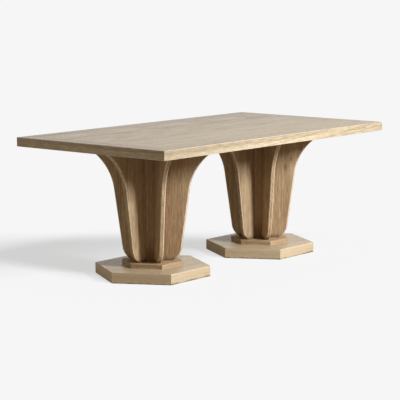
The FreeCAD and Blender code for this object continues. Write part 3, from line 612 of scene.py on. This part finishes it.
def dress_pedestals():
    """Oak on every piece of the pedestals that shows."""
    for side, axis in PEDESTAL_X.items():
        dress_fins(side, axis)
        # Painted shade on the core post: darker all over, and darker still towards its foot.
        core = oak(f"oak_core_post_{side}", (axis, 0.0, CORE_LEVEL), CORE_TURN, pith=(0.0, 0.0, 0.0),
                   slope=0.0, tone=CORE_SHADE_TONE, painted_shade=CORE_FOOT_SHADE, **FIN_TONE)
        cap = hexagon_oak(f"oak_cap_{side}", (axis, 0.0, CAP_LEVEL), (0.0, 0.03, -0.06), PALE_CAP_OAK,
                          DEEP_CAP_OAK, SIDE_GLOSS)
        panel = oak(f"oak_plinth_panel_{side}", (axis, 0.0, PANEL_LEVEL), LEVEL, pith=(0.0, 0.05, -0.06),
                    pale=PALE_PLINTH_OAK, deep=DEEP_PLINTH_OAK, fleck=PANEL_FLECK, knots=PLINTH_KNOTS[side],
                    polish=TOP_POLISH, gloss=TOP_GLOSS)
        # Painted shade along the bottom of the plinth's sides, where they meet the floor.
        sides = hexagon_oak(f"oak_plinth_sides_{side}", (axis, 0.0, SIDE_LEVEL), (0.0, 0.0, -0.06),
                            PALE_SIDE_OAK, DEEP_SIDE_OAK, SIDE_GLOSS, PLINTH_FOOT_SHADE)
        dress(f"core_post_{side}", core)
        dress(f"cap_{side}", cap)
        dress(f"plinth_panel_{side}", panel)
        dress(f"plinth_sides_{side}", sides)


def dress_inside():
    """Beech, metal and nylon on the pieces inside and underneath."""
    beech = oak("beech_inner_wood", pale=PALE_BEECH, deep=DEEP_BEECH)
    upright_beech = oak("beech_upright", turn=UPRIGHT, pale=PALE_BEECH, deep=DEEP_BEECH)
    for name in ("under_panel", "edge_tongues", "corner_splines", "corner_blocks", "fixing_blocks",
                 "cross_ribs", "fin_dowels"):
        dress(name, beech)
    dress("foot_dowels", upright_beech)
    coat = skin("black_powder_coat", BLACK_COAT, scale=900.0, spread=0.5, metallic=0.0, smooth=0.50,
                coarse=0.65, bump_height=0.0003)
    zinc = skin("zinc_plating", ZINC_GREY, scale=400.0, spread=0.3, metallic=1.0, smooth=0.28,
                coarse=0.45, bump_height=0.0001)
    brass = skin("turned_brass", BRASS_YELLOW, scale=500.0, spread=0.3, metallic=1.0, smooth=0.25,
                 coarse=0.40, bump_height=0.0001)
    nylon = skin("black_nylon", NYLON_BLACK, scale=700.0, spread=0.4, metallic=0.0, smooth=0.42,
                 coarse=0.58, bump_height=0.0002)
    for side in PEDESTAL_X:
        dress(f"mounting_plate_{side}", coat)
        for number in range(1, LEVELLERS + 1):
            dress(f"leveller_pad_{side}_{number}", nylon)
            dress(f"leveller_stem_{side}_{number}", zinc)
    for name in ("plate_bolts", "bolt_washers", "plate_screws", "tie_rods", "tie_rod_nuts",
                 "tie_rod_washers"):
        dress(name, zinc)
    for name in ("top_inserts", "leveller_inserts"):
        dress(name, brass)


# Floor, light and camera

WHITE = (1.0, 1.0, 1.0, 1.0)
BLACK = (0.0, 0.0, 0.0, 1.0)
FLOOR_SIZE = 160.0
# The floor lies just under the plinths, so that their faces don't share a plane.
FLOOR_DROP = 0.0002
# Brightness of the backdrop, and the share of it that the floor gives without the lamps.
BACKDROP = 0.9216
FLOOR_GLOW = 0.67
# Colour of the floor as a reflector of light onto the table.
FLOOR_PAINT = (0.105, 0.097, 0.086, 1.0)
FLOOR_ROUGHNESS = 0.9
FLOOR_CLOUDS = 3.0
FLOOR_SPREAD = 0.01
# Level direction in which the shadow fades out, and where the fade starts and ends along it.
FADE_DIRECTION = (0.761, 0.649, 0.0)
FADE_START = 0.60
FADE_END = 1.15
# Light of the world on the table; the world itself is seen in the backdrop's white.
AMBIENT = 0.27
AMBIENT_TINT = (1.07, 0.98, 0.86, 1.0)
LIGHT_TARGET = Vector((0.0, 0.0, 0.4))
LIGHT_DISTANCE = 3.8
SOFTBOX_SIZE = 0.8
SOFTBOX_TINT = (0.87, 0.985, 1.15)
# Azimuth, elevation and power of each softbox.
SOFTBOXES = {
    "key_softbox": (-88.0, 25.0, 198.0),
    "side_softbox": (-46.0, 22.0, 50.0),
    "fill_softbox": (150.0, 12.0, 6.0),
}
# Width of each shadow lamp as seen from the floor, in degrees.
SHADOW_SOFTNESS = 13.0
# Azimuth, elevation and light on the floor of each lamp that casts the shadow.
SHADOW_LAMPS = {
    "front_shadow_lamp": (-83.0, 30.0, 1.2),
    "high_shadow_lamp": (-107.0, 44.0, 1.8),
}


def direction(azimuth, elevation):
    azimuth = math.radians(azimuth)
    elevation = math.radians(elevation)
    return Vector((math.cos(elevation) * math.cos(azimuth), math.cos(elevation) * math.sin(azimuth),
                   math.sin(elevation)))


def seen_directly(tree):
    """One for camera, glossy and transmission rays."""
    path = add_node(tree, "ShaderNodeLightPath").outputs
    share = calculate(tree, "MAXIMUM", path["Is Camera Ray"], path["Is Glossy Ray"])
    return calculate(tree, "MAXIMUM", share, path["Is Transmission Ray"])


def add_floor():
    """White studio floor: bright where it is seen, dimmer as a reflector.

    Its shadow fades out behind the table. From below it is clear, so that the table's underside shows.
    """
    bpy.ops.object.select_all(action="DESELECT")
    bpy.ops.mesh.primitive_plane_add(size=FLOOR_SIZE, location=(0.0, 0.0, -FLOOR_DROP))
    floor = bpy.context.object
    floor.name = "studio_floor"
    material, tree, shader = new_material("studio_floor_paint")
    lamp_light = sum(light for azimuth, elevation, light in SHADOW_LAMPS.values())
    lit_share = BACKDROP * (1.0 - FLOOR_GLOW)
    red, green, blue = (lit_share / (AMBIENT * tint + lamp_light) for tint in AMBIENT_TINT[:3])
    place = add_node(tree, "ShaderNodeTexCoord").outputs["Object"]
    seen = seen_directly(tree)
    fade = ramp(tree, vector_step(tree, "DOT_PRODUCT", place, FADE_DIRECTION), FADE_START, FADE_END)
    seen_paint = blend_colours(tree, fade, (red, green, blue, 1.0), BLACK)
    paint = blend_colours(tree, seen, FLOOR_PAINT, seen_paint)
    marks = use_group(tree, mottle, Vector=place, Scale=FLOOR_CLOUDS, Colour=paint, Spread=FLOOR_SPREAD)
    feed(tree, shader.inputs["Base Color"], marks["Color"])
    shader.inputs["Roughness"].default_value = FLOOR_ROUGHNESS
    shader.inputs["Specular IOR Level"].default_value = 0.0
    shader.inputs["Emission Color"].default_value = WHITE
    glow = calculate(tree, "MULTIPLY_ADD", fade, lit_share, BACKDROP * FLOOR_GLOW)
    feed(tree, shader.inputs["Emission Strength"], calculate(tree, "MULTIPLY", seen, glow))
    surface = add_node(tree, "ShaderNodeMixShader")
    feed(tree, surface.inputs["Fac"], add_node(tree, "ShaderNodeNewGeometry").outputs["Backfacing"])
    feed(tree, surface.inputs[1], shader.outputs["BSDF"])
    feed(tree, surface.inputs[2], add_node(tree, "ShaderNodeBsdfTransparent").outputs["BSDF"])
    feed(tree, tree.nodes["Material Output"].inputs["Surface"], surface.outputs["Shader"])
    floor.data.materials.append(material)
    return floor


def light_only(lamp, name, floor, state):
    """Let a lamp light the floor alone, or everything but the floor."""
    receivers = bpy.data.collections.new(name)
    receivers.objects.link(floor)
    receivers.collection_objects[0].light_linking.link_state = state
    lamp.light_linking.receiver_collection = receivers


def add_softboxes(floor):
    """Lamps that light the table alone and leave no glare in its polished top."""
    for name, (azimuth, elevation, power) in SOFTBOXES.items():
        aim = direction(azimuth, elevation)
        bpy.ops.object.light_add(type="AREA", location=LIGHT_TARGET + LIGHT_DISTANCE * aim,
                                 rotation=aim.to_track_quat("Z", "Y").to_euler())
        softbox = bpy.context.object
        softbox.name = name
        softbox.data.shape = "SQUARE"
        softbox.data.size = SOFTBOX_SIZE
        softbox.data.energy = power
        softbox.data.color = SOFTBOX_TINT
        softbox.visible_glossy = False
        light_only(softbox, f"{name}_receivers", floor, "EXCLUDE")


def add_shadow_lamps(floor):
    """Lamps that light the floor alone, where the table casts its shadow."""
    for name, (azimuth, elevation, light) in SHADOW_LAMPS.items():
        aim = direction(azimuth, elevation)
        bpy.ops.object.light_add(type="SUN", rotation=aim.to_track_quat("Z", "Y").to_euler())
        lamp = bpy.context.object
        lamp.name = name
        lamp.data.energy = light * math.pi / aim.z
        lamp.data.angle = math.radians(SHADOW_SOFTNESS)
        light_only(lamp, f"{name}_receivers", floor, "INCLUDE")


def add_ambient():
    """The world, dim and warm as a light and white where it is seen."""
    world = bpy.data.worlds.new("studio_backdrop")
    bpy.context.scene.world = world
    world.use_nodes = True
    tree = world.node_tree
    background = tree.nodes["Background"]
    seen = seen_directly(tree)
    feed(tree, background.inputs["Color"], blend_colours(tree, seen, AMBIENT_TINT, WHITE))
    strength = calculate(tree, "MULTIPLY_ADD", seen, BACKDROP - AMBIENT, AMBIENT)
    feed(tree, background.inputs["Strength"], strength)


# Solved from the corners of the top and the plinths in the photograph.
# Angles in degrees, lens and sensor in millimetres.
CAMERA_PLACE = (-6.499, -5.484, 1.613)
CAMERA_AZIMUTH = 40.463
CAMERA_DIP = 8.397
CAMERA_ROLL = -0.265
CAMERA_LENS = 136.04
SENSOR_WIDTH = 36.0
VIEW_REACH = 400.0


def add_camera():
    azimuth, dip, roll = (math.radians(angle) for angle in (CAMERA_AZIMUTH, CAMERA_DIP, CAMERA_ROLL))
    ahead = Vector((math.cos(dip) * math.cos(azimuth), math.cos(dip) * math.sin(azimuth), -math.sin(dip)))
    level = Vector((math.sin(azimuth), -math.cos(azimuth), 0.0))
    up = level.cross(ahead)
    across = math.cos(roll) * level + math.sin(roll) * up
    above = math.cos(roll) * up - math.sin(roll) * level
    bpy.ops.object.camera_add()
    camera = bpy.context.object
    camera.name = "photo_camera"
    turn = Matrix((across, above, -ahead)).transposed().to_4x4()
    camera.matrix_world = Matrix.Translation(CAMERA_PLACE) @ turn
    camera.data.sensor_width = SENSOR_WIDTH
    camera.data.sensor_fit = "HORIZONTAL"
    camera.data.lens = CAMERA_LENS
    camera.data.clip_end = VIEW_REACH
    bpy.context.scene.camera = camera


dress_top()
dress_pedestals()
dress_inside()
studio_floor = add_floor()
add_softboxes(studio_floor)
add_shadow_lamps(studio_floor)
add_ambient()
add_camera()
bpy.context.scene.view_settings.view_transform = "Standard"
